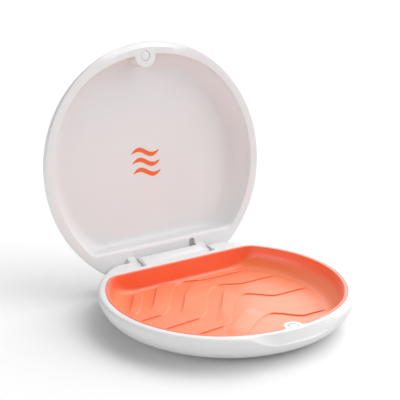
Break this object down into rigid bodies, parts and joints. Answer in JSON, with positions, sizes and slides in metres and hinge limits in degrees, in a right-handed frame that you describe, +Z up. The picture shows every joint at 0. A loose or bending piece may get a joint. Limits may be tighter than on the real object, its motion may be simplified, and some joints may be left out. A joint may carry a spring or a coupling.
{
  "type": "retainer case",
  "caption": "Round clamshell case for a dental retainer: pin-hinged lid, magnet catch, finger recess at the front and a soft wave-ribbed tray liner.",
  "frame": {"origin": "middle of the round outline, on the flat underside of the base", "axes": "+Z up from the table, -Y towards the finger recess at the front, +Y towards the hinge, +X to the right seen from the front; the lid stands open at rest"},
  "size_m": [0.084, 0.0997, 0.0821],
  "materials": {
    "shell": "white moulded plastic, satin",
    "liner": "orange soft moulded rubber, satin",
    "magnet": "nickel plated",
    "pin": "drawn steel"
  },
  "bodies": {
    "base": {"base_shell": "shell", "tray_liner": "liner", "base_magnet": "magnet", "base_magnet_cap": "shell", "hinge_pin": "pin"},
    "lid": {"lid_shell": "shell", "lid_magnet": "magnet", "lid_magnet_cap": "shell"}
  },
  "joints": [
    {"name": "lid_hinge", "type": "hinge", "parent": "base", "child": "lid", "pos_m": [0, 0.0345, 0.0078], "axis": [1, 0, 0], "range_deg": [0, 100]}
  ]
}
